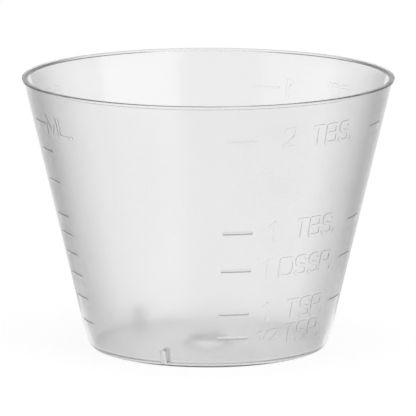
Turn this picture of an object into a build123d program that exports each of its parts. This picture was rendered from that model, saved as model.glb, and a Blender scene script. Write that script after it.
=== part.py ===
from build123d import *
import os
from math import atan, cos, degrees, pi, radians, sin, tan

# Medicine cup moulded in one piece of clear polypropylene: a thin tapered wall with a beaded
# rim, a flat base with a gate well, nesting lugs inside the foot and raised bars that mark doses.
# Millimetres, +Z up. The origin is on the table under the middle of the base, -Y is the front.

# Wall and height
height = 33.9
mouth_radius = 23.0  # outside of the wall at the rim, without the bead
base_radius = 15.0  # outside of the main taper, carried down to the table
wall = 0.5  # measured square to the surface
tuck = 0.25  # how far the foot draws in from the main taper
tuck_height = 3.0  # where the foot starts to draw in

# Rim bead
bead_height = 0.42
bead_width = 0.2
bead_chamfer = 0.14
mouth_round = 0.28  # inside of the lip

# Floor and foot
floor_thickness = 0.35
foot_round = 0.8
floor_round = 0.7

# Gate well, where the plastic entered the mould: the floor lifts over a short nub that is left
# there, so that the nub never touches the table
well_depth = 0.8
well_roof_radius = 1.9
well_mouth_radius = 2.8
well_chamfer = 0.15
nub_radius = 0.5
nub_length = 0.25

# Nesting lugs: ribs at the foot of the wall that keep stacked cups from wedging
lug_count = 3
lug_width = 0.9
lug_depth = 1.1
lug_head_round = 0.42
lug_root = 0.15  # how deep a lug's section reaches into the wall that carries it
lug_angle = -112  # the first lug, degrees round +Z from +X
nest_gap = 0.05  # a cup stacked inside stands this far short of wedging

# Dose bars: raised strips on the outside of the wall, bold on the spoon scale, fine on the others
bar_length = 3.7
bar_crest = 0.06
bar_lean = 0.06  # how far the crest stands above the middle of the foot
bar_root = 0.2  # how deep a bar's section reaches into the wall that carries it
bold_width = 0.5
bold_raise = 0.2
fine_width = 0.3
fine_raise = 0.05

# Each scale has the place of its bars' middles, in degrees round +Z from +X, and its doses in ml
fluid_ounce = 29.57
spoon_scale = (-79.2, [30, 15, 10, 5, 2.5])
millilitre_scale = (-160, [30, 25, 20, 15, 12.5, 10, 7.5, 5, 2.5])
side_scale = (-20, [fluid_ounce, fluid_ounce / 2, fluid_ounce / 3, fluid_ounce / 6])
ounce_scale = (70, [fluid_ounce, fluid_ounce * 3 / 4, fluid_ounce / 2, fluid_ounce / 4, fluid_ounce / 8])

taper = atan((mouth_radius - base_radius) / height)
level_wall = wall / cos(taper)  # the wall's thickness measured level
foot_radius = base_radius - tuck

# The well's sides keep the floor's thickness, so inside the cup they lie a little further out
well_slant = atan(well_depth / (well_mouth_radius - well_roof_radius))
well_shift = floor_thickness * tan(well_slant / 2)
well_top = well_roof_radius + well_shift
well_foot = well_mouth_radius + well_shift


def outer_radius(z):
    """Outside of the wall at height z."""
    draw_in = tuck * max(0, 1 - z / tuck_height)
    return base_radius + z * tan(taper) - draw_in


def inner_radius(z):
    """Inside of the wall at height z."""
    return outer_radius(z) - level_wall


def frustum(z_low, z_high):
    """Volume inside the wall between two heights with a straight wall between them."""
    low = inner_radius(z_low)
    high = inner_radius(z_high)
    return pi / 3 * (z_high - z_low) * (low**2 + low * high + high**2)


def held_below(z):
    """Volume of liquid in mm3 that the cup holds when it is filled to height z."""
    well = pi / 3 * well_depth * (well_top**2 + well_top * well_foot + well_foot**2)
    bend = min(z, tuck_height)
    return frustum(floor_thickness, bend) + frustum(bend, z) - well


def fill_height(millilitres):
    """Height that a dose reaches in the cup, found by halving the range."""
    low = floor_thickness
    high = height
    for _ in range(40):
        middle = (low + high) / 2
        if held_below(middle) < millilitres * 1000:
            low = middle
        else:
            high = middle
    return low


def radial_plane(angle):
    """Upright plane through the cup's axis, with local x pointing outward at the angle."""
    outward = (cos(radians(angle)), sin(radians(angle)), 0)
    normal = (sin(radians(angle)), -cos(radians(angle)), 0)
    return Plane(origin=(0, 0, 0), x_dir=outward, z_dir=normal)


def bar_section(level, width, proud):
    """Corners of a dose bar's section: rooted in the wall, standing square to its surface."""
    corners = []
    for out, along in (
        (-bar_root, -width / 2),
        (0, -width / 2),
        (proud, bar_lean - bar_crest / 2),
        (proud, bar_lean + bar_crest / 2),
        (0, width / 2),
        (-bar_root, width / 2),
    ):
        x = outer_radius(level) + out * cos(taper) + along * sin(taper)
        y = level - out * sin(taper) + along * cos(taper)
        corners.append((x, y))
    return corners


bead_foot = height - bead_height
floor_corner = inner_radius(floor_thickness)

# A cup pushed in until the walls wedge stands this high, and the lugs hold it just above that
wedge_height = wall / sin(taper)
lug_top = wedge_height + nest_gap
lug_inner = floor_corner - lug_depth
lug_foot = floor_thickness / 2

# One nesting lug, on the +X side: an upright rib with a rounded head
with BuildPart() as lug:
    with BuildSketch(Plane.XZ):
        with BuildLine():
            Polyline(
                (lug_inner, lug_foot),
                (inner_radius(lug_foot) + lug_root, lug_foot),
                (inner_radius(lug_top) + lug_root, lug_top),
                (lug_inner, lug_top),
                close=True,
            )
        make_face()
    extrude(amount=lug_width / 2, both=True)
    fillet(lug.edges().filter_by(Axis.X).sort_by(Axis.Z)[-2:], lug_head_round)

with BuildPart() as cup:
    # Wall, bead, base and gate well are one turned section
    with BuildSketch(Plane.XZ) as section:
        with BuildLine():
            Polyline(
                (0, well_depth),
                (well_roof_radius, well_depth),
                (well_mouth_radius, 0),
                (foot_radius, 0),
                (outer_radius(tuck_height), tuck_height),
                (outer_radius(bead_foot), bead_foot),
                (outer_radius(bead_foot) + bead_width, bead_foot),
                (mouth_radius + bead_width, height),
                (inner_radius(height), height),
                (inner_radius(tuck_height), tuck_height),
                (floor_corner, floor_thickness),
                (well_foot, floor_thickness),
                (well_top, well_depth + floor_thickness),
                (0, well_depth + floor_thickness),
                close=True,
            )
        make_face()
        for x, y, radius in (
            (foot_radius, 0, foot_round),
            (floor_corner, floor_thickness, floor_round),
            (inner_radius(height), height, mouth_round),
        ):
            fillet(section.vertices().sort_by_distance(Vector(x, y))[0], radius)
        for x, y, length in (
            (well_mouth_radius, 0, well_chamfer),
            (outer_radius(bead_foot) + bead_width, bead_foot, bead_chamfer),
            (mouth_radius + bead_width, height, bead_chamfer),
        ):
            chamfer(section.vertices().sort_by_distance(Vector(x, y))[0], length)
    revolve(axis=Axis.Z)

    # Gate nub under the roof of the well
    with BuildSketch(Plane.XY.offset(well_depth - nub_length)):
        Circle(nub_radius)
    extrude(amount=nub_length + floor_thickness / 2)

    # Nesting lugs round the foot of the wall
    with PolarLocations(0, lug_count, start_angle=lug_angle):
        add(lug.part)

    # Dose bars, each a short turned strip centred on its scale and at the height of its dose
    for (angle, doses), width, proud in (
        (spoon_scale, bold_width, bold_raise),
        (millilitre_scale, fine_width, fine_raise),
        (side_scale, fine_width, fine_raise),
        (ounce_scale, fine_width, fine_raise),
    ):
        for dose in doses:
            level = fill_height(dose)
            if level + width > bead_foot:
                continue
            span = degrees(bar_length / outer_radius(level))
            with BuildSketch(radial_plane(angle - span / 2)):
                with BuildLine():
                    Polyline(*bar_section(level, width, proud), close=True)
                make_face()
            revolve(axis=Axis.Z, revolution_arc=span)

cup.part.label = "cup"
os.makedirs("parts", exist_ok=True)
export_step(cup.part, "parts/cup.step")
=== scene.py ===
"""Medicine cup moulded in clear polypropylene, standing on a white studio floor."""

import bmesh
import bpy
from math import atan, cos, pi, radians, sin, tan
from mathutils import Matrix, Vector


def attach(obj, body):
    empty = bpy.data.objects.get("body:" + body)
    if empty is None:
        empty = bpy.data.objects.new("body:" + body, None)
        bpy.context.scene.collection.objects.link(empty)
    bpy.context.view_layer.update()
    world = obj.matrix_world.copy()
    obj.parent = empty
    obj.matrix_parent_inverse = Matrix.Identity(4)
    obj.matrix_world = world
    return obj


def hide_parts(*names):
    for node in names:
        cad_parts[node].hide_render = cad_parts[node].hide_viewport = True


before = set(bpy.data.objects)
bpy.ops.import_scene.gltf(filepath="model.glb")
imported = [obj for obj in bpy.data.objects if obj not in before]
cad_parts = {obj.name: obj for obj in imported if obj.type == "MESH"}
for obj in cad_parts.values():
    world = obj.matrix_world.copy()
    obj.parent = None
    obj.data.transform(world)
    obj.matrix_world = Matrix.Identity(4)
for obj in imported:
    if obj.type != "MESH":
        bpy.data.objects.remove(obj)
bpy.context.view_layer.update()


# ---------------------------------------------------------------- camera
# A long lens stands 0.7 m in front of the cup and looks down into its mouth by ten degrees,
# so the rim shows as a flat ellipse and the floor of the cup shows through the wall.

CAMERA_PLACE = (0, -0.690, 0.14547)
CAMERA_PITCH = 10.525  # degrees below level
CAMERA_LENS = 486.7  # mm
CAMERA_SENSOR = 36  # mm
CAMERA_SHIFT = -0.25 / 416  # a quarter of a pixel
CAMERA_NEAR = 0.01

camera_data = bpy.data.cameras.new("camera")
camera_data.lens = CAMERA_LENS
camera_data.sensor_width = CAMERA_SENSOR
camera_data.shift_x = CAMERA_SHIFT
camera_data.clip_start = CAMERA_NEAR
camera = bpy.data.objects.new("camera", camera_data)
camera.location = CAMERA_PLACE
camera.rotation_euler = (radians(90 - CAMERA_PITCH), 0, 0)
bpy.context.scene.collection.objects.link(camera)
bpy.context.scene.camera = camera
bpy.context.scene.view_settings.view_transform = "Standard"


# ---------------------------------------------------------------- floor
# Four strips of white paper run out from under the cup like a cross, on a plain pale table.
# The camera sees both as white. Only what the clear wall bends or mirrors shows the table.

FLOOR_RADIUS = 4
FLOOR_SIDES = 96
FLOOR_DROP = 0.00004  # keeps the floor clear of the flat of the base
FLOOR_COLOR = (0.35, 0.35, 0.35, 1)
FLOOR_GLOW = 0.855
PAPER_STRIPS = 4
PAPER_HALF_WIDTH = 0.015
PAPER_SPREAD = 0.5  # how fast a strip widens away from the cup
PAPER_EDGE = (0.3, 1)  # of its half width, where the white fades into the table
PAPER_SHARE = 0.91  # of the floor's glow, seen through the wall in the middle of a strip
TABLE_SHARE = 0.5  # and between two strips
FOOT_RADIUS = 0.01445  # ring of contact shadow under the edge of the flat base
FOOT_SHADOW = 0.8
FOOT_SHADOW_WIDTH = 0.0005


def new_material(name):
    """Empty node material with its output node."""
    material = bpy.data.materials.new(name)
    material.use_nodes = True
    nodes = material.node_tree.nodes
    nodes.clear()
    output = nodes.new("ShaderNodeOutputMaterial")
    return material, nodes, material.node_tree.links, output


def maths(nodes, links, operation, a, b=None, c=None):
    """Math node whose inputs are sockets or plain numbers."""
    node = nodes.new("ShaderNodeMath")
    node.operation = operation
    for socket, value in zip(node.inputs, (a, b, c)):
        if value is None:
            continue
        if isinstance(value, (int, float)):
            socket.default_value = value
        else:
            links.new(value, socket)
    return node.outputs[0]


def map_range(nodes, links, value, before, after=(0, 1), smooth=False):
    """Map Range node that takes one pair of numbers to another and stops at its ends."""
    node = nodes.new("ShaderNodeMapRange")
    node.interpolation_type = "SMOOTHSTEP" if smooth else "LINEAR"
    node.inputs["From Min"].default_value, node.inputs["From Max"].default_value = before
    node.inputs["To Min"].default_value, node.inputs["To Max"].default_value = after
    links.new(value, node.inputs["Value"])
    return node.outputs[0]


def floor_material():
    """White to the camera; bent and mirrored rays see the paper whiter than the table."""
    material, nodes, links, output = new_material("floor")
    place = nodes.new("ShaderNodeTexCoord").outputs["Object"]
    split = nodes.new("ShaderNodeSeparateXYZ")
    links.new(place, split.inputs[0])
    length = nodes.new("ShaderNodeVectorMath")
    length.operation = "LENGTH"
    links.new(place, length.inputs[0])
    radius = length.outputs["Value"]
    round_axis = maths(nodes, links, "ARCTAN2", split.outputs["Y"], split.outputs["X"])
    off_strip = maths(nodes, links, "PINGPONG", round_axis, pi / PAPER_STRIPS)
    across = maths(nodes, links, "MULTIPLY", radius, maths(nodes, links, "SINE", off_strip))
    along = maths(nodes, links, "MULTIPLY", radius, maths(nodes, links, "COSINE", off_strip))
    half_width = maths(nodes, links, "MULTIPLY_ADD", along, PAPER_SPREAD, PAPER_HALF_WIDTH)
    off_middle = maths(nodes, links, "DIVIDE", across, half_width)
    white = map_range(nodes, links, off_middle, PAPER_EDGE, (PAPER_SHARE, TABLE_SHARE), True)
    past_foot = maths(nodes, links, "SUBTRACT", radius, FOOT_RADIUS)
    off_foot = maths(nodes, links, "ABSOLUTE", past_foot)
    contact = map_range(nodes, links, off_foot, (0, FOOT_SHADOW_WIDTH), (1 - FOOT_SHADOW, 1), True)
    ray = nodes.new("ShaderNodeLightPath").outputs
    bent = maths(nodes, links, "MAXIMUM", ray["Is Glossy Ray"], ray["Is Transmission Ray"])
    seen = maths(nodes, links, "MULTIPLY", maths(nodes, links, "MULTIPLY", bent, white), contact)
    seen = maths(nodes, links, "MAXIMUM", seen, ray["Is Camera Ray"])
    glow = nodes.new("ShaderNodeEmission")
    links.new(maths(nodes, links, "MULTIPLY", seen, FLOOR_GLOW), glow.inputs["Strength"])
    matt = nodes.new("ShaderNodeBsdfDiffuse")
    matt.inputs["Color"].default_value = FLOOR_COLOR
    both = nodes.new("ShaderNodeAddShader")
    links.new(matt.outputs[0], both.inputs[0])
    links.new(glow.outputs[0], both.inputs[1])
    links.new(both.outputs[0], output.inputs["Surface"])
    return material


def object_from(bm, name):
    """New object in the scene from a bmesh, which is freed."""
    mesh = bpy.data.meshes.new(name)
    bm.to_mesh(mesh)
    bm.free()
    made = bpy.data.objects.new(name, mesh)
    bpy.context.scene.collection.objects.link(made)
    return made


floor_bm = bmesh.new()
bmesh.ops.create_circle(floor_bm, cap_ends=True, segments=FLOOR_SIDES, radius=FLOOR_RADIUS)
bmesh.ops.translate(floor_bm, verts=floor_bm.verts, vec=(0, 0, -FLOOR_DROP))
floor = object_from(floor_bm, "floor")
floor.data.materials.append(floor_material())


# ---------------------------------------------------------------- light
# A soft box stands to the camera's right, a weaker one to its left and a large one overhead.
# The room itself is a plain grey that fills the shadows. To the camera it is white, and so it
# is low down to the rays that the clear wall bends or mirrors.

ROOM_LEVEL = 0.30
WHITE_UP_TO = (11, 15)  # degrees up, between which the white that bent rays see ends
# name: level, size, degrees round from the camera towards +X, degrees up, distance
SOFT_BOXES = {
    "key": (1.15, (1.0, 0.65), 48, 22, 1.0),
    "fill": (0.5, (1.0, 0.7), -66, 22, 1.0),
    "top": (1.0, (0.7, 0.7), 0, 89, 1.0),
}

for name, (level, size, round_from, up, distance) in SOFT_BOXES.items():
    lamp = bpy.data.lights.new(name, "AREA")
    lamp.shape = "RECTANGLE"
    lamp.size, lamp.size_y = size
    lamp.energy = level * pi * size[0] * size[1]
    holder = bpy.data.objects.new(name, lamp)
    direction = Vector(
        (
            sin(radians(round_from)) * cos(radians(up)),
            -cos(radians(round_from)) * cos(radians(up)),
            sin(radians(up)),
        )
    )
    holder.location = direction * distance
    holder.rotation_euler = direction.to_track_quat("Z", "Y").to_euler()
    bpy.context.scene.collection.objects.link(holder)

world = bpy.data.worlds.new("room")
world.use_nodes = True
bpy.context.scene.world = world
sky_nodes, sky_links = world.node_tree.nodes, world.node_tree.links
sky_nodes.clear()
sky_output = sky_nodes.new("ShaderNodeOutputWorld")
sky_glow = sky_nodes.new("ShaderNodeBackground")
sky_ray = sky_nodes.new("ShaderNodeLightPath").outputs
sky_split = sky_nodes.new("ShaderNodeSeparateXYZ")
sky_links.new(sky_nodes.new("ShaderNodeTexCoord").outputs["Generated"], sky_split.inputs[0])
band = [sin(radians(degrees_up)) for degrees_up in WHITE_UP_TO]
low_down = map_range(sky_nodes, sky_links, sky_split.outputs["Z"], band, (1, 0), True)
through, mirrored = sky_ray["Is Transmission Ray"], sky_ray["Is Glossy Ray"]
bent_ray = maths(sky_nodes, sky_links, "MAXIMUM", through, mirrored)
white_seen = maths(sky_nodes, sky_links, "MULTIPLY", bent_ray, low_down)
white_seen = maths(sky_nodes, sky_links, "MAXIMUM", white_seen, sky_ray["Is Camera Ray"])
sky_level = maths(sky_nodes, sky_links, "MULTIPLY_ADD", white_seen, 1 - ROOM_LEVEL, ROOM_LEVEL)
sky_links.new(sky_level, sky_glow.inputs["Strength"])
sky_links.new(sky_glow.outputs[0], sky_output.inputs["Surface"])


# ---------------------------------------------------------------- cup wall, rim and base
# The body is one thin turned wall with a beaded rim, a flat base and a small gate well. It is
# injection moulded, so every corner has a small round, and the foot draws in a little.
# The sizes from here on are in millimetres until the finished mesh is scaled to metres.

HEIGHT = 33.9
MOUTH_RADIUS = 23.0
BASE_RADIUS = 15.0
WALL = 0.5
TUCK = 0.25
TUCK_HEIGHT = 3.0
BEAD_HEIGHT = 0.4
BEAD_WIDTH = 0.178  # with the sharper top corner, as far out as the chamfered solid
FLOOR_THICKNESS = 0.35
WELL_DEPTH = 0.8
WELL_ROOF_RADIUS = 1.9
WELL_MOUTH_RADIUS = 2.8
NUB_RADIUS = 0.5
NUB_FOOT = 0.55
TURN_STEPS = 240
WALL_RINGS = 22
FLOOR_RINGS = 5
CORNER_STEPS = 5
SAME_PLACE = 1e-4  # vertices this close are one

TAPER = atan((MOUTH_RADIUS - BASE_RADIUS) / HEIGHT)
LEVEL_WALL = WALL / cos(TAPER)
WELL_SHIFT = FLOOR_THICKNESS * tan(atan(WELL_DEPTH / (WELL_MOUTH_RADIUS - WELL_ROOF_RADIUS)) / 2)


def outer_radius(z):
    """Outside of the wall at height z."""
    return BASE_RADIUS + z * tan(TAPER) - TUCK * max(0, 1 - z / TUCK_HEIGHT)


def inner_radius(z):
    """Inside of the wall at height z."""
    return outer_radius(z) - LEVEL_WALL


bead_foot = HEIGHT - BEAD_HEIGHT
# radius, height and rounding of each corner, from the axis out along the underside
SECTION = [
    (0, NUB_FOOT, 0),
    (NUB_RADIUS, NUB_FOOT, 0.08),
    (NUB_RADIUS, WELL_DEPTH, 0.06),
    (WELL_ROOF_RADIUS, WELL_DEPTH, 0.3),
    (WELL_MOUTH_RADIUS, 0, 0.3),
    (BASE_RADIUS - TUCK, 0, 0.8),
    (outer_radius(TUCK_HEIGHT), TUCK_HEIGHT, 4),
    (outer_radius(bead_foot), bead_foot, 0.06),
    (outer_radius(bead_foot) + BEAD_WIDTH, bead_foot, 0.17),
    (MOUTH_RADIUS + BEAD_WIDTH, HEIGHT, 0.05),
    (inner_radius(HEIGHT), HEIGHT, 0.2),
    (inner_radius(TUCK_HEIGHT), TUCK_HEIGHT, 4),
    (inner_radius(FLOOR_THICKNESS), FLOOR_THICKNESS, 0.7),
    (WELL_MOUTH_RADIUS + WELL_SHIFT, FLOOR_THICKNESS, 0.3),
    (WELL_ROOF_RADIUS + WELL_SHIFT, WELL_DEPTH + FLOOR_THICKNESS, 0.6),
    (0, WELL_DEPTH + FLOOR_THICKNESS, 0),
]


def turned_body():
    """Mesh of the section with its corners rounded, turned once round the axis."""
    bm = bmesh.new()
    corners = [bm.verts.new((r, 0, z)) for r, z, _ in SECTION]
    bm.faces.new(corners)
    for index, (_, _, rounding) in enumerate(SECTION):
        if rounding == 0:
            continue
        before, corner, after = (
            Vector(SECTION[(index + step) % len(SECTION)][:2]) for step in (-1, 0, 1)
        )
        turn = (corner - before).angle(after - corner)
        bmesh.ops.bevel(
            bm,
            geom=[corners[index]],
            offset=rounding * tan(turn / 2),
            offset_type="OFFSET",
            segments=CORNER_STEPS,
            profile=0.5,
            affect="VERTICES",
            material=-1,
            clamp_overlap=False,
        )
    bmesh.ops.delete(bm, geom=bm.faces[:], context="FACES_ONLY")
    on_axis = [e for e in bm.edges if all(v.co.x < 1e-6 for v in e.verts)]
    bmesh.ops.delete(bm, geom=on_axis, context="EDGES")
    long_edges = [e for e in bm.edges if abs(e.verts[0].co.z - e.verts[1].co.z) > HEIGHT / 2]
    bmesh.ops.subdivide_edges(bm, edges=long_edges, cuts=WALL_RINGS)
    flats = [e for e in bm.edges if abs(e.verts[0].co.x - e.verts[1].co.x) > BASE_RADIUS / 2]
    bmesh.ops.subdivide_edges(bm, edges=flats, cuts=FLOOR_RINGS)
    bmesh.ops.spin(
        bm,
        geom=bm.verts[:] + bm.edges[:],
        cent=(0, 0, 0),
        axis=(0, 0, 1),
        dvec=(0, 0, 0),
        angle=2 * pi,
        steps=TURN_STEPS,
        use_merge=True,
        use_duplicate=False,
    )
    bmesh.ops.remove_doubles(bm, verts=bm.verts, dist=SAME_PLACE)
    bmesh.ops.recalc_face_normals(bm, faces=bm.faces)
    return bm


cup = object_from(turned_body(), "cup_moulding")


# ---------------------------------------------------------------- nesting lugs
# Three short upright ribs inside the foot of the wall carry a stacked cup, so that the walls
# never wedge. They are moulded with the wall, and their heads are rounded.

LUG_ANGLES = (-112, 8, 128)  # degrees round +Z from +X
LUG_WIDTH = 0.74
LUG_DEPTH = 1.1
LUG_HEAD_ROUND = 0.34
LUG_HEAD_STEPS = 8
LUG_ROOT = 0.15
LUG_MARK = 1  # material number that marks the lugs' faces while the pieces are united
NEST_GAP = 0.05

lug_top = WALL / sin(TAPER) + NEST_GAP
lug_inner = inner_radius(FLOOR_THICKNESS) - LUG_DEPTH
lug_foot = FLOOR_THICKNESS / 2


def add_lug(bm, angle):
    """Adds one rib to the bmesh, at that angle."""
    side = [
        (lug_inner, lug_foot),
        (inner_radius(lug_foot) + LUG_ROOT, lug_foot),
        (inner_radius(lug_top) + LUG_ROOT, lug_top),
        (lug_inner, lug_top),
    ]
    face = bm.faces.new([bm.verts.new((r, -LUG_WIDTH / 2, z)) for r, z in side])
    grown = bmesh.ops.extrude_face_region(bm, geom=[face])["geom"]
    moved = [v for v in grown if isinstance(v, bmesh.types.BMVert)]
    bmesh.ops.translate(bm, verts=moved, vec=(0, LUG_WIDTH, 0))
    rib = list(face.verts) + moved
    head = [
        e
        for e in {e for v in rib for e in v.link_edges}
        if all(abs(v.co.z - lug_top) < 1e-6 for v in e.verts)
        and abs(e.verts[0].co.y - e.verts[1].co.y) < 1e-6
    ]
    bevelled = bmesh.ops.bevel(
        bm,
        geom=head,
        offset=LUG_HEAD_ROUND,
        offset_type="OFFSET",
        segments=LUG_HEAD_STEPS,
        profile=0.5,
        affect="EDGES",
        material=-1,
    )
    rib = {v for v in rib if v.is_valid} | set(bevelled["verts"])
    turn = Matrix.Rotation(radians(angle), 3, "Z")
    bmesh.ops.rotate(bm, verts=list(rib), cent=(0, 0, 0), matrix=turn)


lug_bm = bmesh.new()
for lug_angle in LUG_ANGLES:
    add_lug(lug_bm, lug_angle)
bmesh.ops.recalc_face_normals(lug_bm, faces=lug_bm.faces)
for lug_face in lug_bm.faces:
    lug_face.material_index = LUG_MARK
lugs = object_from(lug_bm, "lugs")


# ---------------------------------------------------------------- dose bars and figures
# The marks stand a little proud of the wall. Each bar is a strip with sloped sides. A round
# cutter ran the figures and unit letters into the mould, so their strokes are wide, low ridges.

BAR_LENGTH = 3.7
BAR_CREST = (0.03, 0.09)
BAR_ROOT = 0.2
BAR_CUTS = 9
FIGURE_WIDTH = 0.46
FIGURE_CREST = 0.415
FIGURE_RAISE = 0.034
FIGURE_ROOT = 0.1
FIGURE_HEIGHT = 2.3
SIGN_GAP = 0.2  # of the figure height
STROKE_STEP = 0.45
STROKE_OVERRUN = 0.2  # of the stroke's width, past each end of a line
STROKE_END = 0.6  # how wide the stroke is there, as a share of its width
STROKE_LIFT = 0.004  # each further stroke of a sign stands this much higher, so no tops coincide
CURVE_STEPS = 3


def line(start, end):
    """Straight stroke."""
    return "line", [start, end]


def bend(*points):
    """Bent stroke, pulled by its inner points."""
    return "curve", list(points)


def ring(left, right, low, high):
    """Oval stroke in a box."""
    middle, waist = (left + right) / 2, (low + high) / 2
    right_side = [(middle, high), (right, high), (right, waist), (right, low)]
    left_side = [(middle, low), (left, low), (left, waist), (left, high)]
    return "loop", right_side + left_side


# Width and strokes of each sign on a height of 1
SIGNS = {
    "0": (0.72, [ring(0, 0.72, 0, 1)]),
    "1": (0.3, [line((0, 0.76), (0.28, 1)), line((0.28, 1), (0.28, 0))]),
    "2": (
        0.72,
        [
            bend(
                *((0.02, 0.76), (0.06, 1), (0.36, 1.02), (0.7, 1)),
                *((0.72, 0.62), (0.45, 0.4), (0, 0)),
            ),
            line((0, 0), (0.72, 0)),
        ],
    ),
    "3": (
        0.7,
        [
            bend((0.04, 0.84), (0.12, 1.02), (0.64, 1.04), (0.66, 0.54), (0.26, 0.54)),
            bend((0.26, 0.54), (0.74, 0.54), (0.74, -0.04), (0.1, -0.04), (0, 0.18)),
        ],
    ),
    "4": (
        0.74,
        [line((0.54, 0), (0.54, 1)), line((0.54, 1), (0, 0.28)), line((0, 0.28), (0.74, 0.28))],
    ),
    "5": (
        0.7,
        [
            line((0.64, 1), (0.1, 1)),
            line((0.1, 1), (0.05, 0.56)),
            bend((0.05, 0.56), (0.3, 0.68), (0.72, 0.64), (0.74, 0), (0.16, -0.06), (0, 0.16)),
        ],
    ),
    "6": (
        0.7,
        [
            bend((0.56, 1), (0.26, 0.9), (0.04, 0.68), (0.02, 0.48)),
            (
                "loop",
                [(0.35, 0.62), (0.7, 0.6), (0.7, 0.3), (0.7, 0)]
                + [(0.35, 0), (0, 0), (0, 0.3), (0, 0.6)],
            ),
        ],
    ),
    "7": (0.7, [line((0, 1), (0.7, 1)), line((0.7, 1), (0.24, 0))]),
    "8": (0.7, [ring(0.06, 0.64, 0.54, 1), ring(0, 0.7, 0, 0.54)]),
    "B": (
        0.74,
        [
            line((0, 0), (0, 1)),
            bend((0, 1), (0.4, 1), (0.66, 1), (0.66, 0.77), (0.66, 0.56), (0.5, 0.52)),
            bend((0, 0.53), (0.42, 0.53), (0.74, 0.53), (0.74, 0.26), (0.74, 0), (0.42, 0), (0, 0)),
        ],
    ),
    "C": (
        0.76,
        [
            bend(
                *((0.74, 0.82), (0.66, 1.02), (0, 1.06), (0, 0.5)),
                *((0, -0.06), (0.66, -0.02), (0.74, 0.18)),
            )
        ],
    ),
    "D": (
        0.78,
        [line((0, 0), (0, 1)), bend((0, 1), (0.2, 1), (0.84, 1), (0.84, 0), (0.2, 0), (0, 0))],
    ),
    "L": (0.8, [line((0, 1), (0, 0)), line((0, 0), (0.8, 0))]),
    "M": (
        1.2,
        [
            line((0, 0), (0.08, 1)),
            line((0.08, 1), (0.6, 0.1)),
            line((0.6, 0.1), (1.12, 1)),
            line((1.12, 1), (1.2, 0)),
        ],
    ),
    "O": (0.8, [ring(0, 0.8, 0, 1)]),
    "P": (
        0.7,
        [
            line((0, 0), (0, 1)),
            bend((0, 1), (0.4, 1), (0.7, 1), (0.7, 0.73), (0.7, 0.46), (0.4, 0.46), (0, 0.46)),
        ],
    ),
    "S": (
        0.72,
        [
            bend(
                *((0.7, 0.84), (0.62, 1.02), (0.34, 1.02), (0.02, 1.0), (0.02, 0.6), (0.36, 0.52)),
                *((0.72, 0.44), (0.74, 0), (0.36, -0.02), (0.1, -0.02), (0, 0.17)),
            )
        ],
    ),
    "T": (0.72, [line((0, 1), (0.72, 1)), line((0.36, 1), (0.36, 0))]),
    "Z": (0.74, [line((0.02, 1), (0.72, 1)), line((0.72, 1), (0, 0)), line((0, 0), (0.74, 0))]),
    "/": (0.5, [line((0, -0.04), (0.5, 1.04))]),
    ".": (0.16, [line((0.02, 0.04), (0.12, 0.04))]),
}

# For each scale: degrees round +Z from +X of its bars' middles, the bars' width and how far they
# stand proud, then the height of each mark and what stands beside it: the words, how far their
# left end is from the bar's middle, size. The spoon scale's top bar is fainter than its others.
SCALES = [
    (-79.2, (0.4, 0.09), [(29.488, [("2", 5.35, 1), ("TBS.", 9.55, 1)])]),
    (
        -79.2,
        (0.5, 0.2),
        [
            (17.625, [("1", 4.15, 1), ("TBS.", 7.9, 1)]),
            (12.752, [("1", 3.5, 1), ("DSSP.", 5.85, 1)]),
            (7.139, [("1", 3.75, 1), ("TSP.", 7.15, 1)]),
            (3.949, [("1/2", 3.3, 0.6), ("TSP.", 6.85, 1)]),
        ],
    ),
    (
        -160,
        (0.3, 0.05),
        [
            (29.488, [("CC.", -19.6, 1), ("30", -12.1, 1), ("ML.", 1.95, 1)]),
            (25.887, [("25", -12.1, 1)]),
            (21.96, [("20", -12.1, 1)]),
            (17.625, [("15", -11.5, 1)]),
            (15.266, [("12.5", -12.2, 0.72)]),
            (12.752, [("10", -11.2, 0.72)]),
            (10.056, [("7.5", -11.0, 0.72)]),
            (7.139, [("5", -9.4, 0.8)]),
            (3.949, [("2.5", -10.2, 0.72)]),
        ],
    ),
    (
        -20,
        (0.3, 0.05),
        [
            (29.19, [("6", 8.6, 1), ("TSP.", 11.6, 1)]),
            (17.427, [("3", 7.4, 1), ("TSP.", 10.4, 1)]),
            (12.603, [("2", 7.0, 1)]),
            (7.051, [("1", 6.6, 1)]),
        ],
    ),
    (
        70,
        (0.3, 0.05),
        [
            (29.19, [("OZ.", -13.3, 1), ("1", -3.7, 1)]),
            (23.715, [("3/4", -6.2, 0.85)]),
            (17.427, [("1/2", -5.9, 0.85)]),
            (9.935, [("1/4", -6.0, 0.85)]),
            (5.513, [("1/8", -5.8, 0.85)]),
        ],
    ),
]


def add_stroke(curve, kind, points, lift):
    """Adds one stroke to a curve, with ends that narrow a little."""
    if kind == "line":
        start, end = Vector(points[0]), Vector(points[1])
        length = (end - start).length
        along = (end - start) / length
        steps = max(1, round(length / STROKE_STEP))
        inner = [start + along * length * i / steps for i in range(steps + 1)]
        over = along * FIGURE_WIDTH * STROKE_OVERRUN
        run = [start - over] + inner + [end + over]
        spline = curve.splines.new("POLY")
        spline.points.add(len(run) - 1)
        for index, point in enumerate(run):
            spline.points[index].co = (point.x, point.y, lift, 1)
        spline.points[0].radius = spline.points[-1].radius = STROKE_END
        return
    spline = curve.splines.new("NURBS")
    spline.points.add(len(points) - 1)
    for index, point in enumerate(points):
        spline.points[index].co = (point[0], point[1], lift, 1)
    if kind == "loop":
        spline.use_cyclic_u = True
    else:
        spline.use_endpoint_u = True
    spline.order_u = 3
    spline.resolution_u = CURVE_STEPS


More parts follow.
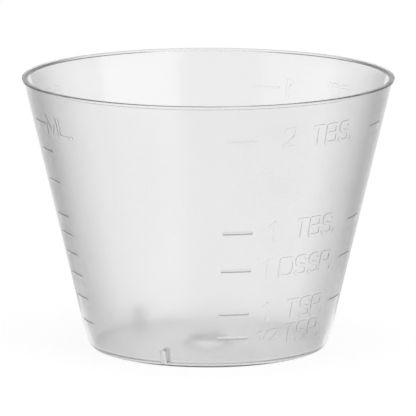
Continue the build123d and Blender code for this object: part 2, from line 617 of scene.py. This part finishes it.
def add_words(curve, words, left, size):
    """Adds the strokes of some signs to a curve, middled on the bar's height."""
    height = FIGURE_HEIGHT * size
    at = left
    for sign in words:
        width, strokes = SIGNS[sign]
        for order, (kind, points) in enumerate(strokes):
            placed = [(at + x * height, (y - 0.5) * height) for x, y in points]
            add_stroke(curve, kind, placed, order * STROKE_LIFT)
        at += (width + SIGN_GAP) * height


def add_bar(bm, width, proud):
    """Adds a bar to the bmesh, lying flat with its middle at the origin."""
    section = [
        (-width / 2, -BAR_ROOT),
        (-width / 2, 0),
        (BAR_CREST[0], proud),
        (BAR_CREST[1], proud),
        (width / 2, 0),
        (width / 2, -BAR_ROOT),
    ]
    end = bm.faces.new([bm.verts.new((-BAR_LENGTH / 2, up, out)) for up, out in section])
    grown = bmesh.ops.extrude_face_region(bm, geom=[end])["geom"]
    moved = [v for v in grown if isinstance(v, bmesh.types.BMVert)]
    bmesh.ops.translate(bm, verts=moved, vec=(BAR_LENGTH, 0, 0))
    long_edges = [e for e in bm.edges if abs(e.verts[0].co.x - e.verts[1].co.x) > BAR_LENGTH / 2]
    bmesh.ops.subdivide_edges(bm, edges=long_edges, cuts=BAR_CUTS)


def flat_figures(words):
    """Mesh of the signs beside one bar, lying flat with the bar's middle at the origin."""
    curve = bpy.data.curves.new("mark", "CURVE")
    curve.dimensions = "3D"
    curve.twist_mode = "Z_UP"
    curve.bevel_mode = "OBJECT"
    curve.bevel_object = stroke_section
    curve.use_fill_caps = True
    for text, left, size in words:
        add_words(curve, text, left, size)
    holder = bpy.data.objects.new("mark", curve)
    bpy.context.scene.collection.objects.link(holder)
    bpy.context.view_layer.update()
    graph = bpy.context.evaluated_depsgraph_get()
    mesh = bpy.data.meshes.new_from_object(holder.evaluated_get(graph))
    bpy.data.objects.remove(holder)
    bpy.data.curves.remove(curve)
    return mesh


def stroke_section_object():
    """Closed curve with the section of a stroke: a flat top, steep sides and a root."""
    curve = bpy.data.curves.new("stroke_section", "CURVE")
    curve.dimensions = "2D"
    spline = curve.splines.new("POLY")
    spline.points.add(5)
    half, crest = FIGURE_WIDTH / 2, FIGURE_CREST / 2
    corners = [
        (-half, -FIGURE_ROOT),
        (half, -FIGURE_ROOT),
        (half, 0),
        (crest, FIGURE_RAISE),
        (-crest, FIGURE_RAISE),
        (-half, 0),
    ]
    for point, (across, out) in zip(spline.points, corners):
        point.co = (across, out, 0, 1)
    spline.use_cyclic_u = True
    made = bpy.data.objects.new("stroke_section", curve)
    bpy.context.scene.collection.objects.link(made)
    return made


def wrap_on_wall(bm, angle, level):
    """Bends flat marks round the tapered wall, with their middle at that angle and height."""
    radius = outer_radius(level)
    for vert in bm.verts:
        across, up, out = vert.co
        z = level + up * cos(TAPER)
        r = outer_radius(z) + out * cos(TAPER)
        turn = radians(angle) + across / radius
        vert.co = (r * cos(turn), r * sin(turn), z - out * sin(TAPER))


stroke_section = stroke_section_object()
marks_bm = bmesh.new()
for scale_angle, bar_size, rows in SCALES:
    for level, words in rows:
        row_bm = bmesh.new()
        flat = flat_figures(words)
        row_bm.from_mesh(flat)
        bpy.data.meshes.remove(flat)
        add_bar(row_bm, *bar_size)
        wrap_on_wall(row_bm, scale_angle, level)
        bent = bpy.data.meshes.new("bent")
        row_bm.to_mesh(bent)
        row_bm.free()
        marks_bm.from_mesh(bent)
        bpy.data.meshes.remove(bent)
# a stroke's end caps are joined to its sides, so that each stroke is closed
bmesh.ops.remove_doubles(marks_bm, verts=marks_bm.verts, dist=SAME_PLACE / 10)
bmesh.ops.recalc_face_normals(marks_bm, faces=marks_bm.faces)
marks = object_from(marks_bm, "marks")
bpy.data.objects.remove(stroke_section)


# ---------------------------------------------------------------- one moulding
# The wall, lugs and marks are one piece of plastic, so their meshes are united into one closed
# skin with nothing left inside the wall.

SHARP_ANGLE = 32
MM = 0.001


def unite(body, tool, crossing):
    """Unites the tool into the body and deletes the tool."""
    union = body.modifiers.new("union", "BOOLEAN")
    union.operation = "UNION"
    union.solver = "EXACT"
    union.use_self = crossing
    union.object = tool
    bpy.context.view_layer.update()
    graph = bpy.context.evaluated_depsgraph_get()
    united = bpy.data.meshes.new_from_object(body.evaluated_get(graph))
    body.modifiers.clear()
    body.data = united
    bpy.data.objects.remove(tool)


unite(cup, lugs, False)
unite(cup, marks, True)

cup_bm = bmesh.new()
cup_bm.from_mesh(cup.data)
bmesh.ops.dissolve_degenerate(cup_bm, edges=cup_bm.edges, dist=SAME_PLACE)
bmesh.ops.scale(cup_bm, verts=cup_bm.verts, vec=(MM, MM, MM))
cup_bm.to_mesh(cup.data)
cup_bm.free()
cup.data.name = "cup_moulding"
# an attribute takes over from the material numbers, and tells the material which faces are lugs
matt = cup.data.attributes.new("matt", "FLOAT", "FACE")
matt.data.foreach_set("value", [float(face.material_index) for face in cup.data.polygons])
cup.data.polygons.foreach_set("material_index", [0] * len(cup.data.polygons))
cup.data.shade_smooth()
cup.data.set_sharp_from_angle(angle=radians(SHARP_ANGLE))


# ---------------------------------------------------------------- clear polypropylene
# Natural polypropylene is clear with a faint haze. The haze blurs what is far behind the wall,
# while the skin that copies the polished mould still mirrors the lights sharply.

PLASTIC_TINT = ((0.94, 0.94, 0.94, 1), (0.98, 0.98, 0.98, 1))
# partly absorption on the slanted way through the wall, partly painted shade towards the wall's
# outline
SLANT_TINT_AND_PAINTED_SHADE = (0.35, 0.35, 0.35, 1)  # times the tint where a ray enters along the surface
SLANT_RANGE = (0.3, 1)
GRAZING = (0.76, 0.82)  # slants between which that ends, as a ray only grazes the wall
WALL_FOOT = (0.0002, 0.001)  # metres up, between which it begins
PLASTIC_IOR = 1.49
CLOUD_SCALE = (120, 120, 45)
CLOUD_DETAIL = 3
CLOUD_RANGE = (0.3, 0.7)
HAZE_ROUGHNESS = (0.2, 0.26)
HAZE_END = (0.6, 0.85)  # slants between which the haze gives way to the polished skin
SKIN_ROUGHNESS = 0.04
LUG_ROUGHNESS = 0.2


def mix_colours(nodes, links, blend, factor):
    """Mix node for colours, with its factor linked."""
    node = nodes.new("ShaderNodeMix")
    node.data_type = "RGBA"
    node.blend_type = blend
    links.new(factor, node.inputs["Factor"])
    return node


def plastic_material():
    """Clear plastic with a cloudy haze, faint flow lines, a polished skin and painted shade where
    rays enter at a slant.
    """
    material, nodes, links, output = new_material("clear_polypropylene")
    shader = nodes.new("ShaderNodeBsdfPrincipled")
    shader.inputs["Transmission Weight"].default_value = 1
    shader.inputs["IOR"].default_value = PLASTIC_IOR
    links.new(shader.outputs[0], output.inputs["Surface"])
    place = nodes.new("ShaderNodeTexCoord").outputs["Object"]
    stretch = nodes.new("ShaderNodeMapping")
    stretch.inputs["Scale"].default_value = CLOUD_SCALE
    links.new(place, stretch.inputs["Vector"])
    noise = nodes.new("ShaderNodeTexNoise")
    noise.inputs["Detail"].default_value = CLOUD_DETAIL
    noise.inputs["Scale"].default_value = 1
    links.new(stretch.outputs[0], noise.inputs["Vector"])
    cloud = noise.outputs["Fac"]
    slant = nodes.new("ShaderNodeLayerWeight").outputs["Facing"]
    backfacing = nodes.new("ShaderNodeNewGeometry").outputs["Backfacing"]
    entering = maths(nodes, links, "SUBTRACT", 1, backfacing)

    # a ray that enters at a slant goes a longer way through the wall and leaves darker; the
    # darkening is set stronger than that absorption, so it is also painted shade that darkens the
    # wall towards its outline
    tint = mix_colours(nodes, links, "MIX", cloud)
    tint.inputs["A"].default_value, tint.inputs["B"].default_value = PLASTIC_TINT
    split = nodes.new("ShaderNodeSeparateXYZ")
    links.new(place, split.inputs[0])
    on_wall = map_range(nodes, links, split.outputs["Z"], WALL_FOOT)
    slant_darkening = map_range(nodes, links, slant, SLANT_RANGE)
    grazing = map_range(nodes, links, slant, GRAZING, (1, 0))
    slanted = maths(nodes, links, "MINIMUM", slant_darkening, grazing)
    entering_wall = maths(nodes, links, "MULTIPLY", entering, on_wall)
    painted_shade_share = maths(nodes, links, "MULTIPLY", slanted, entering_wall)
    tint_with_painted_shade = mix_colours(nodes, links, "MULTIPLY", painted_shade_share)
    links.new(tint.outputs["Result"], tint_with_painted_shade.inputs["A"])
    tint_with_painted_shade.inputs["B"].default_value = SLANT_TINT_AND_PAINTED_SHADE
    links.new(tint_with_painted_shade.outputs["Result"], shader.inputs["Base Color"])

    # the haze blurs what enters nearly square on, and all that passes a lug
    rough = map_range(nodes, links, cloud, CLOUD_RANGE, HAZE_ROUGHNESS)
    square_on = map_range(nodes, links, slant, HAZE_END, (1, 0), True)
    hazy = maths(nodes, links, "MULTIPLY", entering, square_on)
    above_skin = maths(nodes, links, "SUBTRACT", rough, SKIN_ROUGHNESS)
    wall_rough = maths(nodes, links, "MULTIPLY_ADD", above_skin, hazy, SKIN_ROUGHNESS)
    lug_face = nodes.new("ShaderNodeAttribute")
    lug_face.attribute_name = "matt"
    lug_rough = maths(nodes, links, "MULTIPLY", lug_face.outputs["Fac"], LUG_ROUGHNESS)
    links.new(maths(nodes, links, "MAXIMUM", wall_rough, lug_rough), shader.inputs["Roughness"])
    return material


cup.data.materials.clear()
cup.data.materials.append(plastic_material())
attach(cup, "root")
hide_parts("cup")


# ---------------------------------------------------------------- light bounces
# Light may cross the clear wall many times, at the front, at the back and again after each
# reflection, so its limits are raised.

MOST_BOUNCES = 24
MOST_REFLECTIONS = 16

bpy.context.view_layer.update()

cycles = bpy.context.scene.cycles
cycles.max_bounces = MOST_BOUNCES
cycles.glossy_bounces = MOST_REFLECTIONS
cycles.transmission_bounces = MOST_BOUNCES
